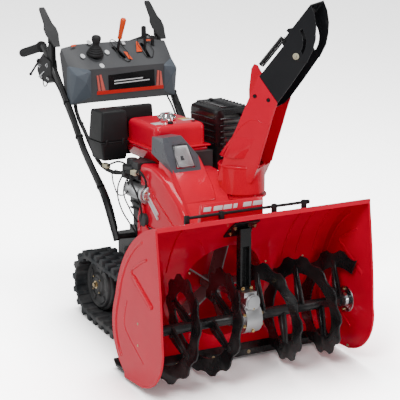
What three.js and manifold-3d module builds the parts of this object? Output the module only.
// Tracked two-stage snowblower, millimetres. +X is the machine's left, -Y its front, +Z up.
// The ground under the tracks is z = 0. The machine body is modelled level in its own group
// and tips nose-up about the drive axle, as the height adjuster holds it for transport.
import * as THREE from 'three';
import { mergeVertices } from 'three/addons/utils/BufferGeometryUtils.js';
import { ConvexGeometry } from 'three/addons/geometries/ConvexGeometry.js';
import { RoundedBoxGeometry } from 'three/addons/geometries/RoundedBoxGeometry.js';
import Module from 'manifold-3d';

const wasm = await Module();
wasm.setup();

// ---- driving dimensions ----
const HOUSING_HALF = 406; // half the clearing width
const LIP_HEIGHT = 580; // top of the housing mouth, level frame
const SHEET = 3; // pressed steel sheet
const AUGER_Y = 120;
const AUGER_Z = 203;
const AUGER_R = 175;
const AUGER_PITCH = 155;
const WORM_Z = 260; // impeller and worm axis, on the centre line
const IMPELLER_R = 158;
const DRUM_R = 163; // inside of the blower drum
const DRUM_BACK = 400;
const CRANK_Z = 505;
const DECK_Z = 372; // top of the frame that carries the engine
const CHUTE_X = 118;
const CHUTE_Y = 347;
const CHUTE_YAW = THREE.MathUtils.degToRad(36.9); // discharge turned to the machine's left
const CHUTE_HALF = 67; // half the channel width
const DEFLECTOR_PIVOT = [173, 1104]; // reach and height in the chute's own plane
const AXLE_Y = 445; // drive axle in the level body frame
const AXLE_Z = 172;
const RAISE = THREE.MathUtils.degToRad(6.3); // nose-up tilt of the body at rest
const AXLE_ROW_Y = -257.5; // drive axle in the finished frame
const TRACK_BASE = 272; // drive axle to idler axle
const BELT_R = 108; // outside of the belt round a wheel, without lugs
const BELT_THICK = 12;
const LUG = 20;
const LUG_COUNT = 28;
const TRACK_INNER = 180;
const TRACK_OUTER = 290;
const RAIL_X = 220;
const RAIL_R = 12.5;

// ---- materials ----
const finish = (color, roughness, metalness = 0) =>
  new THREE.MeshStandardMaterial({ color, roughness, metalness });
const RED = finish(0xcd0523, 0.25);
const BLACK_PAINT = finish(0x17181a, 0.35);
const BLACK_PLASTIC = finish(0x26282a, 0.6);
const CONSOLE_GREY = finish(0x55575a, 0.65);
const LAMP_GREY = finish(0x5a6068, 0.5);
const RUBBER = finish(0x20262c, 0.8);
const WHEEL = finish(0x3a3a3a, 0.6);
const STEEL = finish(0xb9bcc0, 0.3, 1);
const ALUMINIUM = finish(0xa9adb0, 0.4, 1);
const CHROME = finish(0xe0e2e4, 0.1, 1);
const BRASS = finish(0xb08d48, 0.35, 1);
const ORANGE = finish(0xf05010, 0.45);
const LENS = finish(0xbfc6cc, 0.1);

// ---- shape helpers: every one returns a manifold solid ----
function solid(geometry) {
  const bare = geometry.index ? geometry.toNonIndexed() : geometry.clone();
  for (const name of Object.keys(bare.attributes)) {
    if (name !== 'position') bare.deleteAttribute(name);
  }
  const merged = mergeVertices(bare, 1e-4);
  return new wasm.Manifold(
    new wasm.Mesh({
      numProp: 3,
      vertProperties: new Float32Array(merged.attributes.position.array),
      triVerts: new Uint32Array(merged.index.array),
    }),
  );
}

const union = (...shapes) => shapes.reduce((sum, shape) => sum.add(shape));
const cut = (shape, ...tools) => tools.reduce((rest, tool) => rest.subtract(tool), shape);

function box(x0, x1, y0, y1, z0, z1) {
  const geometry = new THREE.BoxGeometry(x1 - x0, y1 - y0, z1 - z0);
  return solid(geometry.translate((x0 + x1) / 2, (y0 + y1) / 2, (z0 + z1) / 2));
}

function roundedBox(x0, x1, y0, y1, z0, z1, radius, steps = 1) {
  const geometry = new RoundedBoxGeometry(x1 - x0, y1 - y0, z1 - z0, steps, radius);
  return solid(geometry.translate((x0 + x1) / 2, (y0 + y1) / 2, (z0 + z1) / 2));
}

// Round bar between two points, with its own radius at each end.
function bar(from, to, radius, sides = 16, endRadius = radius) {
  const a = new THREE.Vector3(...from);
  const b = new THREE.Vector3(...to);
  const length = a.distanceTo(b);
  const geometry = new THREE.CylinderGeometry(endRadius, radius, length, sides);
  geometry.translate(0, length / 2, 0);
  const up = new THREE.Vector3(0, 1, 0);
  geometry.applyQuaternion(
    new THREE.Quaternion().setFromUnitVectors(up, b.clone().sub(a).normalize()),
  );
  return solid(geometry.translate(a.x, a.y, a.z));
}

const shapeOf = (points) => new THREE.Shape(points.map(([u, v]) => new THREE.Vector2(u, v)));

function extrude(points, depth) {
  return new THREE.ExtrudeGeometry(shapeOf(points), { depth, bevelEnabled: false });
}

// Outline in (y, z), thickness along X.
function plateX(outline, x0, x1) {
  const turn = new THREE.Matrix4().set(0, 0, 1, x0, 1, 0, 0, 0, 0, 1, 0, 0, 0, 0, 0, 1);
  return solid(extrude(outline, x1 - x0).applyMatrix4(turn));
}

// Outline in (x, z), thickness along Y.
function plateY(outline, y0, y1) {
  const turn = new THREE.Matrix4().set(1, 0, 0, 0, 0, 0, -1, y1, 0, 1, 0, 0, 0, 0, 0, 1);
  return solid(extrude(outline, y1 - y0).applyMatrix4(turn));
}

// Outline in (x, y), thickness along Z.
function plateZ(outline, z0, z1) {
  return solid(extrude(outline, z1 - z0).translate(0, 0, z0));
}

const hull = (points) =>
  solid(new ConvexGeometry(points.map((point) => new THREE.Vector3(...point))));

function arc(cu, cv, radius, fromDeg, toDeg, steps) {
  return Array.from({ length: steps + 1 }, (_, i) => {
    const angle = THREE.MathUtils.degToRad(fromDeg + ((toDeg - fromDeg) * i) / steps);
    return [cu + radius * Math.cos(angle), cv + radius * Math.sin(angle)];
  });
}

const circle = (cu, cv, radius, steps) => arc(cu, cv, radius, 0, 360, steps).slice(0, steps);

// Round tube of solid section along a smooth curve through the points.
function cable(points, radius, steps, sides = 8, tension = 0.5) {
  const route = points.map((point) => new THREE.Vector3(...point));
  const path = new THREE.CatmullRomCurve3(route, false, 'catmullrom', tension);
  const geometry = new THREE.ExtrudeGeometry(shapeOf(circle(0, 0, radius, sides)), {
    steps,
    extrudePath: path,
    bevelEnabled: false,
  });
  return solid(geometry);
}

// Skin over a row of rings that all have the same number of points, closed at both ends.
// Rings may run either way round: the faces are turned outwards at the end.
function loft(rings) {
  const count = rings[0].length;
  const positions = rings.flat(2);
  const index = [];
  for (let r = 0; r + 1 < rings.length; r += 1) {
    for (let i = 0; i < count; i += 1) {
      const next = (i + 1) % count;
      const a = r * count + i;
      const b = r * count + next;
      index.push(a, b, b + count, a, b + count, a + count);
    }
  }
  const last = (rings.length - 1) * count;
  for (let i = 1; i + 1 < count; i += 1) {
    index.push(0, i + 1, i, last, last + i, last + i + 1);
  }
  const geometry = new THREE.BufferGeometry();
  geometry.setAttribute('position', new THREE.Float32BufferAttribute(positions, 3));
  geometry.setIndex(index);
  const skin = solid(geometry);
  if (skin.volume() > 0) return skin;
  return solid(geometry.setIndex(index.reverse()));
}

function geometryOf(shape) {
  const mesh = shape.getMesh();
  const geometry = new THREE.BufferGeometry();
  geometry.setAttribute('position', new THREE.BufferAttribute(mesh.vertProperties, 3));
  geometry.setIndex(new THREE.BufferAttribute(mesh.triVerts, 1));
  geometry.computeVertexNormals();
  return geometry;
}

function addPart(parent, name, shape, material) {
  const mesh = new THREE.Mesh(geometryOf(shape), material);
  mesh.name = name;
  parent.add(mesh);
}

const mirrored = (shape) => {
  const { vertProperties, triVerts } = shape.getMesh();
  const flipped = vertProperties.map((value, i) => (i % 3 === 0 ? -value : value));
  const turned = triVerts.slice();
  for (let i = 0; i < turned.length; i += 3) {
    turned[i] = triVerts[i + 1];
    turned[i + 1] = triVerts[i];
  }
  return new wasm.Manifold(
    new wasm.Mesh({ numProp: 3, vertProperties: flipped, triVerts: turned }),
  );
};

// ---- groups: the tracks stand level, the body tips about the drive axle ----
const group = new THREE.Group();
const tracks = new THREE.Group();
tracks.position.set(0, AXLE_ROW_Y, BELT_R + LUG);
const tilt = new THREE.Group();
tilt.position.copy(tracks.position);
tilt.rotation.x = -RAISE;
const body = new THREE.Group();
body.position.set(0, -AXLE_Y, -AXLE_Z);
tilt.add(body);
group.add(tracks, tilt);

// ---- undercarriage, drawn about the drive axle ----
// Stadium outline round both wheels, at a distance from their centres.
function stadium(radius, steps) {
  return [
    ...arc(TRACK_BASE, 0, radius, -90, 90, steps),
    ...arc(0, 0, radius, 90, 270, steps),
  ];
}

// Outline of the belt with square lugs standing on it, walked by length along the belt.
function luggedOutline() {
  const straight = TRACK_BASE;
  const round = Math.PI * BELT_R;
  const total = 2 * (straight + round);
  const at = (s, out) => {
    const d = ((s % total) + total) % total;
    if (d < straight) return [d, -BELT_R - out];
    if (d < straight + round) {
      const angle = -Math.PI / 2 + (d - straight) / BELT_R;
      const radius = BELT_R + out;
      return [TRACK_BASE + radius * Math.cos(angle), radius * Math.sin(angle)];
    }
    if (d < 2 * straight + round) return [2 * straight + round - d, BELT_R + out];
    const angle = Math.PI / 2 + (d - 2 * straight - round) / BELT_R;
    const radius = BELT_R + out;
    return [radius * Math.cos(angle), radius * Math.sin(angle)];
  };
  const pitch = total / LUG_COUNT;
  const rise = 0.18; // a lug's flank and top, as shares of the pitch
  const top = 0.44;
  return Array.from({ length: LUG_COUNT }, (_, i) => i * pitch - 0.4 * pitch).flatMap((s) => [
    at(s, 0),
    at(s + rise * 0.4 * pitch, LUG),
    at(s + top * pitch, LUG),
    at(s + (top + rise * 0.4) * pitch, 0),
  ]);
}

const belt = cut(
  plateX(luggedOutline(), TRACK_INNER, TRACK_OUTER),
  plateX(stadium(BELT_R - BELT_THICK, 14), TRACK_INNER - 1, TRACK_OUTER + 1),
);

// A wheel with a dished disc: rim, web and hub on the wheel's own axle.
function trackWheel(y, hubOuter) {
  const rim = BELT_R - BELT_THICK - 1.5;
  return cut(
    union(
      bar([TRACK_INNER + 18, y, 0], [TRACK_OUTER - 22, y, 0], rim, 20),
      bar([TRACK_INNER + 2, y, 0], [hubOuter, y, 0], 26, 16),
    ),
    bar([TRACK_OUTER - 50, y, 0], [TRACK_OUTER, y, 0], rim - 12, 20),
    bar([TRACK_INNER, y, 0], [TRACK_OUTER - 58, y, 0], rim - 12, 20),
  ).add(bar([TRACK_INNER + 2, y, 0], [hubOuter, y, 0], 26, 16));
}

const HALF_SHAFT_IN = 60;
const driveWheel = union(
  trackWheel(0, TRACK_OUTER - 34),
  bar([HALF_SHAFT_IN, 0, 0], [TRACK_INNER + 10, 0, 0], 12, 16),
);
const idlerWheel = cut(
  trackWheel(TRACK_BASE, TRACK_OUTER - 34),
  bar([TRACK_INNER - 5, TRACK_BASE, 0], [TRACK_OUTER - 40, TRACK_BASE, 0], 11, 16),
);

// Track frame: an inboard beam from the drive axle's boss back to the idler shaft.
const FRAME_X = 160;
const FRAME_THICK = 14;
const frameOutline = [
  ...arc(0, 0, 34, 90, 270, 8),
  [60, -34],
  [TRACK_BASE - 30, -52],
  ...arc(TRACK_BASE, -6, 30, -90, 60, 6),
  [TRACK_BASE - 20, 40],
  [60, 34],
];
const trackFrame = cut(
  plateX(frameOutline, FRAME_X, FRAME_X + FRAME_THICK),
  bar([FRAME_X - 1, 0, 0], [FRAME_X + FRAME_THICK + 1, 0, 0], 14, 20),
  bar([FRAME_X - 1, TRACK_BASE, 0], [FRAME_X + FRAME_THICK + 1, TRACK_BASE, 0], 10.5, 20),
);
const rearAxle = bar([-TRACK_OUTER + 42, TRACK_BASE, 0], [TRACK_OUTER - 42, TRACK_BASE, 0], 10, 20);

addPart(tracks, 'track_belt_left', belt, RUBBER);
addPart(tracks, 'track_belt_right', mirrored(belt), RUBBER);
addPart(tracks, 'track_frame_left', trackFrame, BLACK_PAINT);
addPart(tracks, 'track_frame_right', mirrored(trackFrame), BLACK_PAINT);
addPart(tracks, 'rear_axle', rearAxle, STEEL);
addPart(tracks, 'drive_wheel_left', driveWheel, WHEEL);
addPart(tracks, 'drive_wheel_right', mirrored(driveWheel), WHEEL);
addPart(tracks, 'idler_wheel_left', idlerWheel, WHEEL);
addPart(tracks, 'idler_wheel_right', mirrored(idlerWheel), WHEEL);

// ---- auger housing ----
const UPPER_ARC = { y: -70, z: 230, r: 357 };
const LOWER_R = 185; // lower rear wall, about the auger shaft

// Rear wall of the housing from the lip down to the bottom edge, at an offset inwards.
function wallPoints(inset) {
  return [
    ...arc(UPPER_ARC.y, UPPER_ARC.z, UPPER_ARC.r - inset, 78.7, 12, 12),
    ...arc(AUGER_Y, AUGER_Z, LOWER_R - inset, 22, -56, 11),
  ];
}

const BOTTOM_Y = 223;
const BOTTOM_Z = 31;
const frontArc = arc(108, 181, 148, -96, -194, 12);
const sideOutline = [...wallPoints(0), [BOTTOM_Y, BOTTOM_Z], [97, BOTTOM_Z], ...frontArc];
const mouthCut = [
  ...wallPoints(SHEET),
  [BOTTOM_Y - SHEET, BOTTOM_Z + 5],
  [BOTTOM_Y - SHEET, -60],
  [-200, -60],
  [-200, LIP_HEIGHT + 60],
  [-1, LIP_HEIGHT + 60],
];
const lip = box(-HOUSING_HALF, HOUSING_HALF, -4, 4, LIP_HEIGHT - 14, LIP_HEIGHT);
const drumBore = bar([0, 150, WORM_Z], [0, 420, WORM_Z], DRUM_R, 40);
const housingShell = cut(
  plateX(sideOutline, -HOUSING_HALF, HOUSING_HALF),
  plateX(mouthCut, -HOUSING_HALF + SHEET, HOUSING_HALF - SHEET),
);
addPart(body, 'auger_housing', cut(union(housingShell, lip), drumBore), RED);

// Scraper bar behind the bottom edge, and the two skid shoes on the rear wall.
const scraper = plateX(
  [
    [BOTTOM_Y + 0.4, 34],
    [BOTTOM_Y + 6.4, 34],
    [BOTTOM_Y + 6.4, 44],
    [BOTTOM_Y + 22, 62],
    [BOTTOM_Y + 19, 66],
    [BOTTOM_Y + 0.4, 44],
  ],
  -HOUSING_HALF + 4,
  HOUSING_HALF - 4,
);
addPart(body, 'scraper_bar', cut(scraper, plateX(offsetWall(0.4), -420, 420)), BLACK_PAINT);
const skid = union(
  plateX(
    [
      [250, 74],
      [250, 54],
      [262, 40],
      [310, 40],
      [326, 56],
      [326, 64],
      [308, 48],
      [264, 48],
      [257, 58],
      [257, 74],
    ],
    346,
    392,
  ),
  plateX(
    [
      [250, 70],
      [262, 44],
      [300, 44],
      [318, 100],
      [312, 190],
      [280, 110],
    ],
    366,
    372,
  ),
);
addPart(body, 'skid_shoe_left', cut(skid, plateX(offsetWall(0.6), 300, 420)), BLACK_PAINT);
addPart(
  body,
  'skid_shoe_right',
  mirrored(cut(skid, plateX(offsetWall(0.6), 300, 420))),
  BLACK_PAINT,
);

// The housing's filled side outline, grown by a clearance, as a cutting tool.
function offsetWall(clearance) {
  return [...wallPoints(-clearance), [BOTTOM_Y + clearance, BOTTOM_Z - clearance], [-60, -60], [-60, 650]];
}

// ---- blower housing: drum, back plate and the discharge duct that rises from it ----
const DUCT_BOTTOM = 268;
const DUCT_TOP = 520;
const COLLAR_TOP = 597;
const DUCT_R = 70;
function duct(inset) {
  const x1 = DRUM_R + SHEET - 0.5 - inset;
  const foot = [
    [62 + inset, 292 + inset],
    [x1, 292 + inset],
    [x1, DRUM_BACK - inset],
    [62 + inset, DRUM_BACK - inset],
  ].map(([x, y]) => [x, y, DUCT_BOTTOM]);
  const head = circle(CHUTE_X, CHUTE_Y, DUCT_R - inset, 20).map(([x, y]) => [x, y, DUCT_TOP]);
  return union(
    hull([...foot, ...head]),
    bar([CHUTE_X, CHUTE_Y, DUCT_TOP - 1], [CHUTE_X, CHUTE_Y, COLLAR_TOP], DUCT_R - inset, 20),
  );
}
const drumOuter = bar([0, 200, WORM_Z], [0, DRUM_BACK + SHEET, WORM_Z], DRUM_R + SHEET, 40);
const drumInner = bar([0, 190, WORM_Z], [0, DRUM_BACK, WORM_Z], DRUM_R, 40);
const collarFlange = bar([CHUTE_X, CHUTE_Y, 560], [CHUTE_X, CHUTE_Y, 566], DUCT_R + 16, 20);
const blower = cut(
  union(drumOuter, duct(0), collarFlange),
  drumInner,
  duct(SHEET),
  bar([CHUTE_X, CHUTE_Y, COLLAR_TOP - 90], [CHUTE_X, CHUTE_Y, COLLAR_TOP + 5], DUCT_R - SHEET, 20),
  plateX(offsetWall(0.4), -400, 400),
  bar([0, 380, WORM_Z], [0, 430, WORM_Z], 12, 20),
);
addPart(body, 'blower_housing', blower, RED);

// ---- auger ----
const HUB_OUT = 18;
const SHAFT_R = 12;
const SHAFT_HALF = HOUSING_HALF - SHEET - 1; // the shaft ends in bearings inside the side plates
function auger(side) {
  const xEnd = 388;
  const xStart = 52;
  const tipX = side > 0 ? 299 : 319; // where the flight passes the bottom
  const rings = [];
  const stepDeg = 20;
  const count = Math.round((((xEnd - xStart) / AUGER_PITCH) * 360) / stepDeg);
  for (let i = 0; i <= count; i += 1) {
    const x = xStart + ((xEnd - xStart) * i) / count;
    const angle = THREE.MathUtils.degToRad(-90 + (360 * (x - tipX)) / AUGER_PITCH);
    const outer = AUGER_R - (i % 2 === 0 ? 0 : 12);
    const corner = (radius, shift) => [
      x + shift,
      AUGER_Y + radius * Math.cos(angle),
      AUGER_Z + radius * Math.sin(angle),
    ];
    const inner = AUGER_R - 62;
    rings.push([corner(inner, -3), corner(outer, -3), corner(outer, 3), corner(inner, 3)]);
  }
  const ribbon = loft(rings);
  const sleeve = cut(
    bar([xStart - 6, AUGER_Y, AUGER_Z], [xEnd, AUGER_Y, AUGER_Z], HUB_OUT, 16),
    bar([0, AUGER_Y, AUGER_Z], [450, AUGER_Y, AUGER_Z], SHAFT_R + 0.4, 16),
  );
  // Flat spokes carry the ribbon every half turn.
  const spokes = [];
  for (let x = xStart + 8; x < xEnd; x += AUGER_PITCH / 2) {
    const turn = (360 * (x - tipX)) / AUGER_PITCH - 90;
    const spoke = new THREE.BoxGeometry(10, AUGER_R - 60 - HUB_OUT + 12, 26);
    spoke.translate(x, (AUGER_R - 60 + HUB_OUT) / 2, 0);
    spoke.rotateX(THREE.MathUtils.degToRad(turn));
    spokes.push(solid(spoke.translate(0, AUGER_Y, AUGER_Z)));
  }
  return union(ribbon, sleeve, ...spokes);
}
addPart(body, 'auger_left', auger(1), BLACK_PAINT);
addPart(body, 'auger_right', mirrored(auger(-1)), BLACK_PAINT);
addPart(
  body,
  'auger_shaft',
  bar([-SHAFT_HALF, AUGER_Y, AUGER_Z], [SHAFT_HALF, AUGER_Y, AUGER_Z], SHAFT_R, 16),
  STEEL,
);

// ---- gearbox: the worm on the impeller shaft turns the wheel on the auger shaft ----
const WHEEL_R = 41;
const WORM_R = 13.5;
const wormWheel = cut(
  plateX(
    Array.from({ length: 40 }, (_, i) => {
      const angle = (i * Math.PI) / 20;
      const radius = WHEEL_R - (i % 2 ? 4 : 0);
      return [AUGER_Y + radius * Math.cos(angle), AUGER_Z + radius * Math.sin(angle)];
    }),
    -10,
    10,
  ),
  bar([-20, AUGER_Y, AUGER_Z], [20, AUGER_Y, AUGER_Z], SHAFT_R + 0.4, 16),
);
addPart(body, 'worm_wheel', wormWheel, BRASS);

const gearboxCase = cut(
  union(
    bar([-30, AUGER_Y, AUGER_Z], [30, AUGER_Y, AUGER_Z], 54, 20),
    bar([-42, AUGER_Y, AUGER_Z], [42, AUGER_Y, AUGER_Z], 26, 16),
    bar([0, 80, WORM_Z], [0, 196, WORM_Z], 28, 18),
    bar([0, 73, WORM_Z], [0, 81, WORM_Z], 23, 18),
    box(-24, 24, 96, 168, 270, 292),
  ),
  bar([-17, AUGER_Y, AUGER_Z], [17, AUGER_Y, AUGER_Z], 46, 20),
  bar([0, 86, WORM_Z], [0, 188, WORM_Z], 18, 16),
  bar([0, 180, WORM_Z], [0, 200, WORM_Z], 11.5, 16),
  bar([-60, AUGER_Y, AUGER_Z], [60, AUGER_Y, AUGER_Z], SHAFT_R + 1, 20),
);
addPart(body, 'gearbox_case', gearboxCase, ALUMINIUM);

// The post that hangs the gearbox from the housing's roof, with its bracket plate.
const roofAt = (y, inset) =>
  UPPER_ARC.z + Math.sqrt((UPPER_ARC.r - inset) ** 2 - (y - UPPER_ARC.y) ** 2);
const roofPlate = plateX(
  [
    ...arc(UPPER_ARC.y, UPPER_ARC.z, UPPER_ARC.r - SHEET - 0.5, 58, 42, 4),
    ...arc(UPPER_ARC.y, UPPER_ARC.z, UPPER_ARC.r - SHEET - 6.5, 42, 58, 4),
  ],
  -48,
  48,
);
const POST_FOOT = 292.4;
addPart(
  body,
  'gearbox_support',
  union(
    roofPlate,
    cut(
      box(-21, 21, 126, 152, POST_FOOT, roofAt(150, SHEET + 4)),
      box(-13, 13, 118, 146, POST_FOOT + 12, 440),
    ),
  ),
  BLACK_PAINT,
);

// ---- impeller and its shaft ----
const blades = Array.from({ length: 5 }, (_, i) => {
  const blade = new THREE.BoxGeometry(5, 74, IMPELLER_R - 16);
  blade.translate(0, 0, (IMPELLER_R + 16) / 2);
  blade.rotateY((i * 2 * Math.PI) / 5 + 0.3);
  return solid(blade.translate(0, 345, WORM_Z));
});
const impeller = cut(
  union(bar([0, 308, WORM_Z], [0, 388, WORM_Z], 24, 20), ...blades),
  bar([0, 290, WORM_Z], [0, 395, WORM_Z], 10.4, 16),
);
addPart(body, 'impeller', impeller, BLACK_PAINT);
addPart(
  body,
  'impeller_shaft',
  union(
    bar([0, 90, WORM_Z], [0, 470, WORM_Z], 10, 16),
    bar([0, 100, WORM_Z], [0, 140, WORM_Z], WORM_R, 16),
  ),
  STEEL,
);

// ---- belt drive: crank pulley above, impeller pulley below, one V-belt ----
const PULLEY_Y = 436;
function pulley(z, radius, bore) {
  return cut(
    union(
      bar([0, PULLEY_Y - 13, z], [0, PULLEY_Y, z], radius, 24, radius - 9),
      bar([0, PULLEY_Y, z], [0, PULLEY_Y + 13, z], radius - 9, 24, radius),
      bar([0, PULLEY_Y - 18, z], [0, PULLEY_Y + 18, z], bore + 10, 16),
    ),
    bar([0, PULLEY_Y - 30, z], [0, PULLEY_Y + 30, z], bore + 0.4, 16),
  );
}
const IMPELLER_PULLEY_R = 62;
const CRANK_PULLEY_R = 52;
addPart(body, 'impeller_pulley', pulley(WORM_Z, IMPELLER_PULLEY_R, 10), BLACK_PAINT);
addPart(
  body,
  'engine_pulley',
  union(
    pulley(CRANK_Z, CRANK_PULLEY_R, 5),
    bar([0, PULLEY_Y - 20, CRANK_Z], [0, 500, CRANK_Z], 12, 16),
  ),
  STEEL,
);
const beltLoop = (out) => [
  ...arc(0, WORM_Z, IMPELLER_PULLEY_R + out, -175, -5, 16),
  ...arc(0, CRANK_Z, CRANK_PULLEY_R + out, 5, 175, 12),
];
addPart(
  body,
  'drive_belt',
  cut(
    plateY(beltLoop(9), PULLEY_Y - 6, PULLEY_Y + 6),
    plateY(beltLoop(1), PULLEY_Y - 7, PULLEY_Y + 7),
  ),
  RUBBER,
);

// ---- main frame: two side plates, the engine deck and a rear cross plate ----
const FRAME_HALF = 140;
const FRAME_FRONT = DRUM_BACK + 10;
const framePlate = (x) =>
  plateX(
    [
      [FRAME_FRONT, 210],
      [425, 140],
      [500, 130],
      [540, 140],
      [620, 215],
      [760, 262],
      [770, DECK_Z],
      [FRAME_FRONT, DECK_Z],
    ],
    x,
    x + 4,
  );
const mainFrame = cut(
  union(
    framePlate(-FRAME_HALF),
    framePlate(FRAME_HALF - 4),
    box(-FRAME_HALF, FRAME_HALF, 470, 770, DECK_Z - 4, DECK_Z),
    box(-FRAME_HALF, FRAME_HALF, 764, 768, 280, DECK_Z),
    box(-FRAME_HALF, FRAME_HALF, FRAME_FRONT, FRAME_FRONT + 4, 180, 340),
  ),
  bar([-200, AXLE_Y, AXLE_Z], [200, AXLE_Y, AXLE_Z], 14, 20),
  bar([0, 380, WORM_Z], [0, 500, WORM_Z], 13, 20),
);
addPart(body, 'main_frame', mainFrame, BLACK_PAINT);

// Hydrostatic transmission with its final drive round the axle.
const transmission = cut(
  union(
    roundedBox(-100, 100, 500, 640, 210, 350, 12),
    bar([-112, AXLE_Y, AXLE_Z], [-56, AXLE_Y, AXLE_Z], 22, 20),
    bar([56, AXLE_Y, AXLE_Z], [112, AXLE_Y, AXLE_Z], 22, 20),
    box(-112, 112, 456, 520, 150, 230),
    bar([-60, 570, 340], [-60, 570, 362], 34, 20),
  ),
  bar([HALF_SHAFT_IN - 4, AXLE_Y, AXLE_Z], [130, AXLE_Y, AXLE_Z], 14, 20),
  bar([-130, AXLE_Y, AXLE_Z], [-HALF_SHAFT_IN + 4, AXLE_Y, AXLE_Z], 14, 20),
);
addPart(body, 'transmission', transmission, ALUMINIUM);

// ---- engine ----
const engineBlock = cut(
  union(
    roundedBox(-120, 110, 486, 700, DECK_Z + 0.4, 600, 14),
    box(-95, 95, 500, 690, 590, 690),
    box(-168, -90, 562, 640, 600, 660),
  ),
  bar([0, 440, CRANK_Z], [0, 506, CRANK_Z], 14, 20),
);
addPart(body, 'engine_block', engineBlock, ALUMINIUM);

const FLANGE_Z = 702;
const fuelTank = union(
  roundedBox(-112, 88, 531, 750, FLANGE_Z - 8, 786, 22, 2),
  roundedBox(-125, 100, 519, 765, FLANGE_Z, FLANGE_Z + 7, 3),
);
addPart(body, 'fuel_tank', fuelTank, RED);
const CAP = { x: -14, y: 633 };
addPart(
  body,
  'fuel_cap',
  union(
    bar([CAP.x, CAP.y, 787], [CAP.x, CAP.y, 803], 31, 18),
    bar([CAP.x, CAP.y, 802], [CAP.x, CAP.y, 809], 29, 18, 20),
  ),
  CHROME,
);

const airBase = [
  [-236, 700],
  [-130, 700],
  [-130, 772],
  [16, 772],
  [16, 805],
  [-236, 805],
];
addPart(body, 'air_cleaner_base', plateZ(airBase, 645, 712), BLACK_PLASTIC);
const airCover = union(
  roundedBox(-232, -128, 700, 805, 712.4, 820, 12),
  roundedBox(-160, 14, 774, 805, 712.4, 820, 12),
);
addPart(body, 'air_cleaner_cover', airCover, BLACK_PLASTIC);

addPart(
  body,
  'muffler',
  union(
    roundedBox(124, 236, 520, 680, 640, 800, 20),
    bar([112, 600, 630], [180, 600, 650], 16, 14),
    bar([200, 600, 560], [200, 600, 650], 14, 14),
  ),
  STEEL,
);
// Guard: a shell over the muffler, open below, with rows of slots through its walls.
const guardOuter = roundedBox(112, 262, 500, 700, 606, 832, 22);
const guardInner = roundedBox(116, 258, 504, 696, 560, 828, 20);
const pipeGap = box(108, 122, 576, 624, 600, 656);
const slots = [];
for (let z = 645; z < 800; z += 22) {
  slots.push(box(140, 236, 490, 710, z, z + 11));
}
for (let y = 530; y < 680; y += 22) {
  slots.push(box(150, 228, y, y + 11, 815, 840));
}
addPart(
  body,
  'muffler_guard',
  cut(guardOuter, guardInner, box(100, 270, 490, 710, 560, 612), pipeGap, ...slots),
  BLACK_PAINT,
);

// Recoil starter at the rear, with its pull handle, and the electric starter on the side.
addPart(
  body,
  'recoil_cover',
  union(
    bar([0, 701, CRANK_Z], [0, 742, CRANK_Z], 112, 24, 104),
    bar([0, 742, CRANK_Z], [0, 752, CRANK_Z], 60, 24),
    roundedBox(48, 92, 700, 752, 566, 640, 8),
  ),
  BLACK_PLASTIC,
);
const PULL = { x: 70, y: 752.6, z: 606 };
addPart(
  body,
  'recoil_handle',
  union(
    bar([PULL.x, PULL.y, PULL.z], [PULL.x, PULL.y + 22, PULL.z], 9, 12),
    roundedBox(PULL.x - 40, PULL.x + 40, PULL.y + 18, PULL.y + 36, PULL.z - 9, PULL.z + 9, 7),
  ),
  BLACK_PLASTIC,
);
const STARTER = { x: -158, z: 560 };
addPart(
  body,
  'starter_motor',
  union(
    bar([STARTER.x, 500, STARTER.z], [STARTER.x, 628, STARTER.z], 30, 20),
    bar([STARTER.x, 500, STARTER.z], [STARTER.x, 514, STARTER.z], 35, 20),
    box(STARTER.x, -120.6, 508, 560, STARTER.z - 24, STARTER.z + 24),
  ),
  ALUMINIUM,
);

// ---- belt cover, from the engine's front down over the blower ----
const coverSkin = (inset) =>
  union(
    hull([
      [-166 + inset, 556 - 2 * inset, 436],
      [-166 + inset, 556 - 2 * inset, 664 - inset],
      [-152 + inset, 232 + inset, 470],
      [-150 + inset, 240 + inset, 604 - inset],
      [48, 240 + inset, 596 - inset],
      [48, 232 + inset, 470],
      [100 - inset, 556 - 2 * inset, 640 - inset],
      [100 - inset, 556 - 2 * inset, 436],
      [100 - inset, 470, 560 - inset],
      [100 - inset, 470, 436],
      [-160 + inset, 420, 420],
      [100 - inset, 440, 420],
    ]),
    hull([
      [-128 + inset, 330 + inset, 600],
      [6 - inset, 330 + inset, 598],
      [-120 + inset, 430, 684 - inset],
      [4 - inset, 430, 684 - inset],
      [-128 + inset, 480 - inset, 694 - inset],
      [20 - inset, 480 - inset, 694 - inset],
      [-138 + inset, 480 - inset, 600],
      [26 - inset, 480 - inset, 600],
    ]),
  );
const engineGap = box(-130, 115, 480, 720, 380, 698.5);
const starterGap = bar([STARTER.x, 494, STARTER.z], [STARTER.x, 640, STARTER.z], 39, 20);
const chuteGap = bar([CHUTE_X, CHUTE_Y, 400], [CHUTE_X, CHUTE_Y, 760], 99, 32);
const beltCover = cut(
  coverSkin(0),
  coverSkin(SHEET).subtract(box(-400, 400, 100, 700, 700, 800)),
  plateX(offsetWall(0.6), -400, 400),
  box(-400, 400, 100, 700, 300, 437),
  bar([0, 100, WORM_Z], [0, DRUM_BACK + 8, WORM_Z], DRUM_R + SHEET + 1.5, 48),
  chuteGap,
  engineGap,
  starterGap,
);
addPart(body, 'belt_cover', beltCover, RED);

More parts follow.
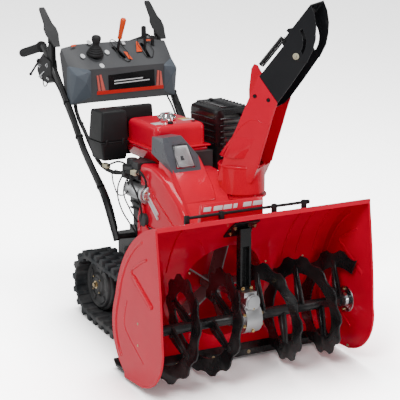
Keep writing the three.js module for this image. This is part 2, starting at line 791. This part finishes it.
// ---- headlight pod on the cover, ahead of the tank ----
const podSkin = (inset) =>
  hull([
    [-126 + inset, 388 + inset, 645 + inset],
    [-14 - inset, 388 + inset, 645 + inset],
    [-142 + inset, 424 + inset, 730],
    [-134 + inset, 446 + inset, 764 - inset],
    [-62 - inset, 446 + inset, 766 - inset],
    [-8 - inset, 424 + inset, 696],
    [-140 + inset, 514, 700 + inset],
    [-138 + inset, 514, 758 - inset],
    [-62 - inset, 514, 760 - inset],
    [0 - inset, 514, 700 + inset],
  ]);
const lensFace = (out, grow = 0) =>
  hull(
    [
      [-108 - grow, 394 - grow, 664 - grow],
      [-34 + grow, 394 - grow, 664 - grow],
      [-46 + grow, 432 + grow, 738 + grow],
      [-106 - grow, 432 + grow, 738 + grow],
    ].flatMap(([x, y, z]) => [
      [x, y - 8 + out, z + 4],
      [x, y + 10 + out, z - 5],
    ]),
  );
const coverTop = coverSkin(0);
const podClear = podSkin(0).subtract(box(-200, 100, 300, 600, 500, 641));
addPart(
  body,
  'headlight_housing',
  cut(podClear, coverTop.translate([0, 0, 0.6]), lensFace(-14, 0.5), lensFace(0.6, 0.5)),
  LAMP_GREY,
);
addPart(
  body,
  'headlight_lens',
  cut(podSkin(2).intersect(lensFace(0)), coverTop.translate([0, 0, 0.9])),
  LENS,
);

// ---- handle rails, grips and console ----
const railRoute = [
  [623, 381],
  [718, 523],
  [871, 658],
  [979, 786],
  [1172, 980],
  [1195, 992],
];
const rail = cable(
  railRoute.map(([y, z]) => [RAIL_X, y, z]),
  RAIL_R,
  18,
  8,
  0.25,
);
const railFoot = plateX(
  [
    [600, 345],
    [660, 345],
    [668, 420],
    [630, 425],
    [600, 380],
  ],
  FRAME_HALF + 0.5,
  FRAME_HALF + 6.5,
);
const railStub = bar([FRAME_HALF + 3, 630, 388], [RAIL_X, 630, 392], 10, 12);
// Bracket on the rail for the clutch lever's pin above and the steering trigger's pin below.
const LEVER_PIN = [1118, 1016];
const TRIGGER_PIN = [1212, 936];
const leverBracket = union(
  plateX(
    [
      [1070, 868],
      [1140, 880],
      [1196, 884],
      [1226, 912],
      [1222, 940],
      [1190, 966],
      [1160, 980],
      [1130, 1018],
      [1118, 1026],
      [1108, 1018],
      [1100, 940],
    ],
    RAIL_X - 5,
    RAIL_X + 5,
  ),
  bar([RAIL_X - 16, ...LEVER_PIN], [RAIL_X + 16, ...LEVER_PIN], 4, 12),
  bar([RAIL_X, ...TRIGGER_PIN], [RAIL_X + 20, ...TRIGGER_PIN], 4, 12),
);
const handleRail = union(rail, railFoot, railStub, leverBracket);
addPart(body, 'handle_rail_left', handleRail, BLACK_PAINT);
addPart(body, 'handle_rail_right', mirrored(handleRail), BLACK_PAINT);

const GRIP_FROM = [RAIL_X, 1206, 989];
const GRIP_TO = [RAIL_X + 8, 1367, 945];
const grip = union(
  bar(GRIP_FROM, GRIP_TO, 16, 16),
  bar([RAIL_X, 1205.5, 989.2], [RAIL_X + 0.6, 1217, 986], 21, 16),
);
addPart(body, 'grip_left', grip, RUBBER);
addPart(body, 'grip_right', mirrored(grip), RUBBER);

// Console: a hood between the rails, hollow and open below, with slots for the levers.
const consoleSkin = (inset) => {
  const wing = 214 - inset;
  const middle = 150;
  const section = (x, front, rear, drop) => [
    [x, front, 812 - drop],
    [x, front + 2, 932 - drop - inset],
    [x, rear - 14, 1010 - drop - inset],
    [x, rear, 988 - drop - inset],
    [x, rear - 50, 812 - drop],
  ];
  return hull([
    ...section(-wing, 984 + inset, 1070 - inset, 10),
    ...section(wing, 984 + inset, 1070 - inset, 10),
    ...section(-middle, 944 + inset, 1074 - inset, 0),
    ...section(middle, 944 + inset, 1074 - inset, 0),
  ]);
};
const JOYSTICK = { x: -103, y: 1005, pivot: 948 };
const SPEED = { x: -10, y: 1037, pivot: 905 };
const SLOT = { x: -1.5, y: 1010.5, half: 30 };
const SLOT_DIR = [0.416, -0.909]; // the speed slot runs aslant, forward and to the left
const THROTTLE = { x: 108, y: 1014, pivot: 925 };
const KEY = { x: 150, y: 1032 };
const slotOutline = (width) => {
  const [dx, dy] = SLOT_DIR;
  const corner = (along, across) => [
    SLOT.x + along * SLOT.half * dx - (across * width * dy) / 2,
    SLOT.y + along * SLOT.half * dy + (across * width * dx) / 2,
  ];
  return [corner(-1, -1), corner(1, -1), corner(1, 1), corner(-1, 1)];
};
const railClear = bar([RAIL_X, 930, 737], [RAIL_X, 1200, 1008], RAIL_R + 1.5, 16);
const consoleShape = cut(
  consoleSkin(0),
  consoleSkin(4).translate([0, 0, -1]),
  box(-300, 300, 900, 1200, 700, 800),
  box(-146, 146, 950, 1030, 790, 816),
  bar([JOYSTICK.x, JOYSTICK.y, 900], [JOYSTICK.x, JOYSTICK.y, 1040], 19, 20),
  plateZ(slotOutline(19), 900, 1050),
  box(THROTTLE.x - 7, THROTTLE.x + 7, 978, 1046, 900, 1050),
  bar([KEY.x, KEY.y, 950], [KEY.x, KEY.y, 1040], 7.5, 16),
  railClear,
  mirrored(railClear),
);
addPart(body, 'console', consoleShape, CONSOLE_GREY);

// ---- clutch levers: a paddle on two ears about the bracket's pin ----
function clutchLever() {
  const [pinY, pinZ] = LEVER_PIN;
  const lean = Math.SQRT1_2;
  const along = (s, off) => [pinY + 2 + (s - off) * lean, pinZ + 32 + (s + off) * lean];
  // Half widths of the paddle along its length from the lower arm to the tip.
  const stations = [
    [-62, 12],
    [-36, 17],
    [-6, 25],
    [22, 25],
    [44, 17],
    [112, 12],
    [120, 9],
  ];
  const rings = stations.map(([s, half]) => {
    const [y0, z0] = along(s, -3);
    const [y1, z1] = along(s, 3);
    return [
      [RAIL_X - half, y0, z0],
      [RAIL_X + half, y0, z0],
      [RAIL_X + half, y1, z1],
      [RAIL_X - half, y1, z1],
    ];
  });
  const ear = (x) =>
    plateX(
      [
        [pinY - 10, pinZ - 2],
        [pinY, pinZ - 9],
        [pinY + 9, pinZ],
        along(14, -2),
        along(-16, -2),
      ],
      x,
      x + 4,
    );
  return cut(
    union(loft(rings), ear(RAIL_X - 13), ear(RAIL_X + 9)),
    bar([RAIL_X - 30, ...LEVER_PIN], [RAIL_X + 30, ...LEVER_PIN], 4.5, 16),
  );
}
const paddle = clutchLever();
addPart(body, 'clutch_lever_left', paddle, BLACK_PLASTIC);
addPart(body, 'clutch_lever_right', mirrored(paddle), BLACK_PLASTIC);

// ---- steering triggers: a bent finger with a ball end under each grip ----
const TRIGGER_X = RAIL_X + 12;
const trigger = cut(
  union(
    bar([TRIGGER_X - 4, ...TRIGGER_PIN], [TRIGGER_X + 4, ...TRIGGER_PIN], 9, 16),
    bar([TRIGGER_X, TRIGGER_PIN[0] + 4, TRIGGER_PIN[1] - 4], [TRIGGER_X, 1285, 878], 4, 8),
    solid(new THREE.SphereGeometry(6.5, 8, 6).translate(TRIGGER_X, 1286, 877)),
  ),
  bar([TRIGGER_X - 9, ...TRIGGER_PIN], [TRIGGER_X + 9, ...TRIGGER_PIN], 4.5, 16),
);
addPart(body, 'steering_trigger_left', trigger, BLACK_PLASTIC);
addPart(body, 'steering_trigger_right', mirrored(trigger), BLACK_PLASTIC);

// ---- controls on the console ----
// The joystick's gimbal ring turns fore and aft; the stick tips sideways inside it.
const gimbal = cut(
  box(
    JOYSTICK.x - 13,
    JOYSTICK.x + 13,
    JOYSTICK.y - 13,
    JOYSTICK.y + 13,
    JOYSTICK.pivot - 5,
    JOYSTICK.pivot + 5,
  ),
  box(JOYSTICK.x - 9, JOYSTICK.x + 9, JOYSTICK.y - 9, JOYSTICK.y + 9, 930, 970),
);
addPart(body, 'joystick_gimbal', gimbal, STEEL);
const joystick = union(
  bar([JOYSTICK.x, JOYSTICK.y, 938], [JOYSTICK.x, JOYSTICK.y, 1015], 4.5, 12),
  bar([JOYSTICK.x, JOYSTICK.y, 1006], [JOYSTICK.x, JOYSTICK.y, 1044], 11, 14, 13.5),
  bar([JOYSTICK.x, JOYSTICK.y, 1043], [JOYSTICK.x, JOYSTICK.y, 1050], 13.5, 14, 9),
);
addPart(body, 'joystick', joystick, BLACK_PLASTIC);

const speedLever = union(
  bar([SPEED.x - 9, SPEED.y, SPEED.pivot], [SPEED.x + 9, SPEED.y, SPEED.pivot], 9, 12),
  bar([SPEED.x, SPEED.y, SPEED.pivot], [2.6, 1010.5, 1030], 4.5, 12),
  bar([2.3, 1011, 1028], [10, 995, 1098], 8, 16, 11),
  bar([10, 995, 1098], [10.6, 993.8, 1103], 11, 16, 6),
);
addPart(body, 'speed_lever', speedLever, ORANGE);

const throttleLever = union(
  bar(
    [THROTTLE.x - 6, THROTTLE.y, THROTTLE.pivot],
    [THROTTLE.x + 6, THROTTLE.y, THROTTLE.pivot],
    8,
    12,
  ),
  box(THROTTLE.x - 3, THROTTLE.x + 3, 1009, 1019, THROTTLE.pivot, 1030),
  roundedBox(THROTTLE.x - 13, THROTTLE.x + 4, 1006, 1022, 1024, 1066, 5),
);
addPart(body, 'throttle_lever', throttleLever, BLACK_PLASTIC);

const ignitionKey = union(
  bar([KEY.x, KEY.y, 972], [KEY.x, KEY.y, 1008], 6.5, 14),
  roundedBox(KEY.x - 2.5, KEY.x + 2.5, KEY.y - 10, KEY.y + 10, 1006, 1026, 2),
);
addPart(body, 'ignition_key', ignitionKey, BLACK_PLASTIC);

// ---- wiring and cable, both clipped along the rails ----
const loomRoute = [
  [-182, 1000, 850],
  [-188, 1000, 806],
  [-197, 965, 768],
  [-198, 905, 716],
  [-198, 850, 664],
  [-197, 790, 622],
  [-193, 720, 606],
  [-187, 650, 612],
  [-181, 600, 622],
  [-178, 562, 622],
];
addPart(body, 'wiring_loom', cable(loomRoute, 7.5, 28, 8), BLACK_PLASTIC);
const cableRoute = [
  [190, 1002, 850],
  [193, 1002, 806],
  [199, 965, 760],
  [199, 871, 640],
  [199, 780, 560],
  [199, 722, 508],
  [190, 668, 430],
  [168, 600, 300],
  [152, 560, 262],
];
addPart(body, 'clutch_cable', cable(cableRoute, 3.5, 28, 6), BLACK_PLASTIC);

// ---- chute: drawn in its own turned group, front towards -Y ----
const chute = new THREE.Group();
chute.position.set(CHUTE_X, CHUTE_Y, 0);
chute.rotation.z = CHUTE_YAW;
body.add(chute);
// Outlines below are (reach towards the discharge, height); plates run across the channel.
const across = (outline, x0, x1) =>
  plateX(
    outline.map(([reach, z]) => [-reach, z]),
    x0,
    x1,
  );
const BASE_R = 80;
const BASE_LOW = 575;
const BASE_TOP = 672;
const backEdge = [
  [-62, 618],
  [-52, 655],
  [-35, 710],
  [-16, 756],
  [5, 800],
  [45, 894],
  [84, 985],
];
const frontEdge = [
  [151, 898],
  [138, 860],
  [118, 790],
  [100, 730],
  [84, 672],
  [60, 618],
];
const chuteWall = 3;
const innerBack = backEdge.map(([reach, z]) => [reach + chuteWall, z]);
const chuteShape = cut(
  union(
    bar([0, 0, BASE_LOW], [0, 0, BASE_TOP], BASE_R, 40),
    across([...backEdge, ...frontEdge], -CHUTE_HALF, CHUTE_HALF),
  ),
  bar([0, 0, BASE_LOW - 1], [0, 0, BASE_TOP - chuteWall], BASE_R - chuteWall, 40),
  across(
    [...innerBack, [95, 1020], [240, 1020], [240, BASE_TOP - 6], [40, BASE_TOP - 6], [40, 618]],
    -CHUTE_HALF + chuteWall,
    CHUTE_HALF - chuteWall,
  ),
);
// Spine on the back that anchors the deflector's spring.
const SPINE_X = -22;
const spine = across(
  [
    [35.5, 868],
    [34, 930],
    [42, 1000],
    [52, 1016],
    [64, 1012],
    [81, 984],
    [82, 976],
  ],
  SPINE_X - 2,
  SPINE_X + 2,
);
addPart(chute, 'chute', union(chuteShape, spine), RED);

const EXT_OUT = CHUTE_HALF - chuteWall - 0.6;
const EXT_WALL = 2.5;
const extBack = [
  [70, 944],
  [88, 985],
  [168, 1086],
  [172, 1099],
];
const extFront = [
  [182, 1100],
  [226, 1080],
  [250, 1037],
  [201, 965],
  [152, 897],
  [128, 872],
  [100, 880],
];
const extension = cut(
  across([...extBack, ...extFront], -EXT_OUT, EXT_OUT),
  across(
    [
      [76.5, 900],
      [76.5, 944],
      [93, 984],
      [166, 1077],
      [166, 1200],
      [300, 1200],
      [300, 800],
    ],
    -EXT_OUT + EXT_WALL,
    EXT_OUT - EXT_WALL,
  ),
);
addPart(chute, 'chute_extension', extension, BLACK_PAINT);

// Deflector: hinged on the extension's top corners, with an arc slot for the clamp bolt.
const [PIVOT_REACH, PIVOT_Z] = DEFLECTOR_PIVOT;
const DEFL_IN = EXT_OUT + 0.8;
const DEFL_OUT = DEFL_IN + 2.5;
const slotArc = [
  ...arc(PIVOT_REACH, PIVOT_Z, 76, -52, 36, 8),
  ...arc(PIVOT_REACH, PIVOT_Z, 65, 36, -52, 8),
];
const deflectorOutline = [
  [164, 1096],
  [180, 1122],
  [262, 1228],
  [276, 1196],
  [283, 1155],
  [281, 1118],
  [274, 1082],
  [252, 1037],
  [214, 1040],
  [198, 1050],
];
const deflector = cut(
  across(deflectorOutline, -DEFL_OUT, DEFL_OUT),
  across(
    [
      [160, 1040],
      [160, 1094],
      [204, 1150],
      [262, 1224],
      [300, 1224],
      [300, 1020],
    ],
    -DEFL_IN,
    DEFL_IN,
  ),
  across(slotArc, -DEFL_OUT - 1, DEFL_OUT + 1),
);
const lug = across(
  [
    [200, 1146],
    [170, 1140],
    [164, 1132],
    [172, 1126],
    [187, 1129.5],
  ],
  SPINE_X - 2,
  SPINE_X + 2,
);
addPart(chute, 'deflector', union(deflector, lug), BLACK_PAINT);
addPart(
  chute,
  'deflector_spring',
  across(
    [
      [52, 1017],
      [60, 1013.5],
      [150, 1124],
      [144, 1130],
    ],
    SPINE_X - 6,
    SPINE_X + 6,
  ),
  BLACK_PAINT,
);

export default group;
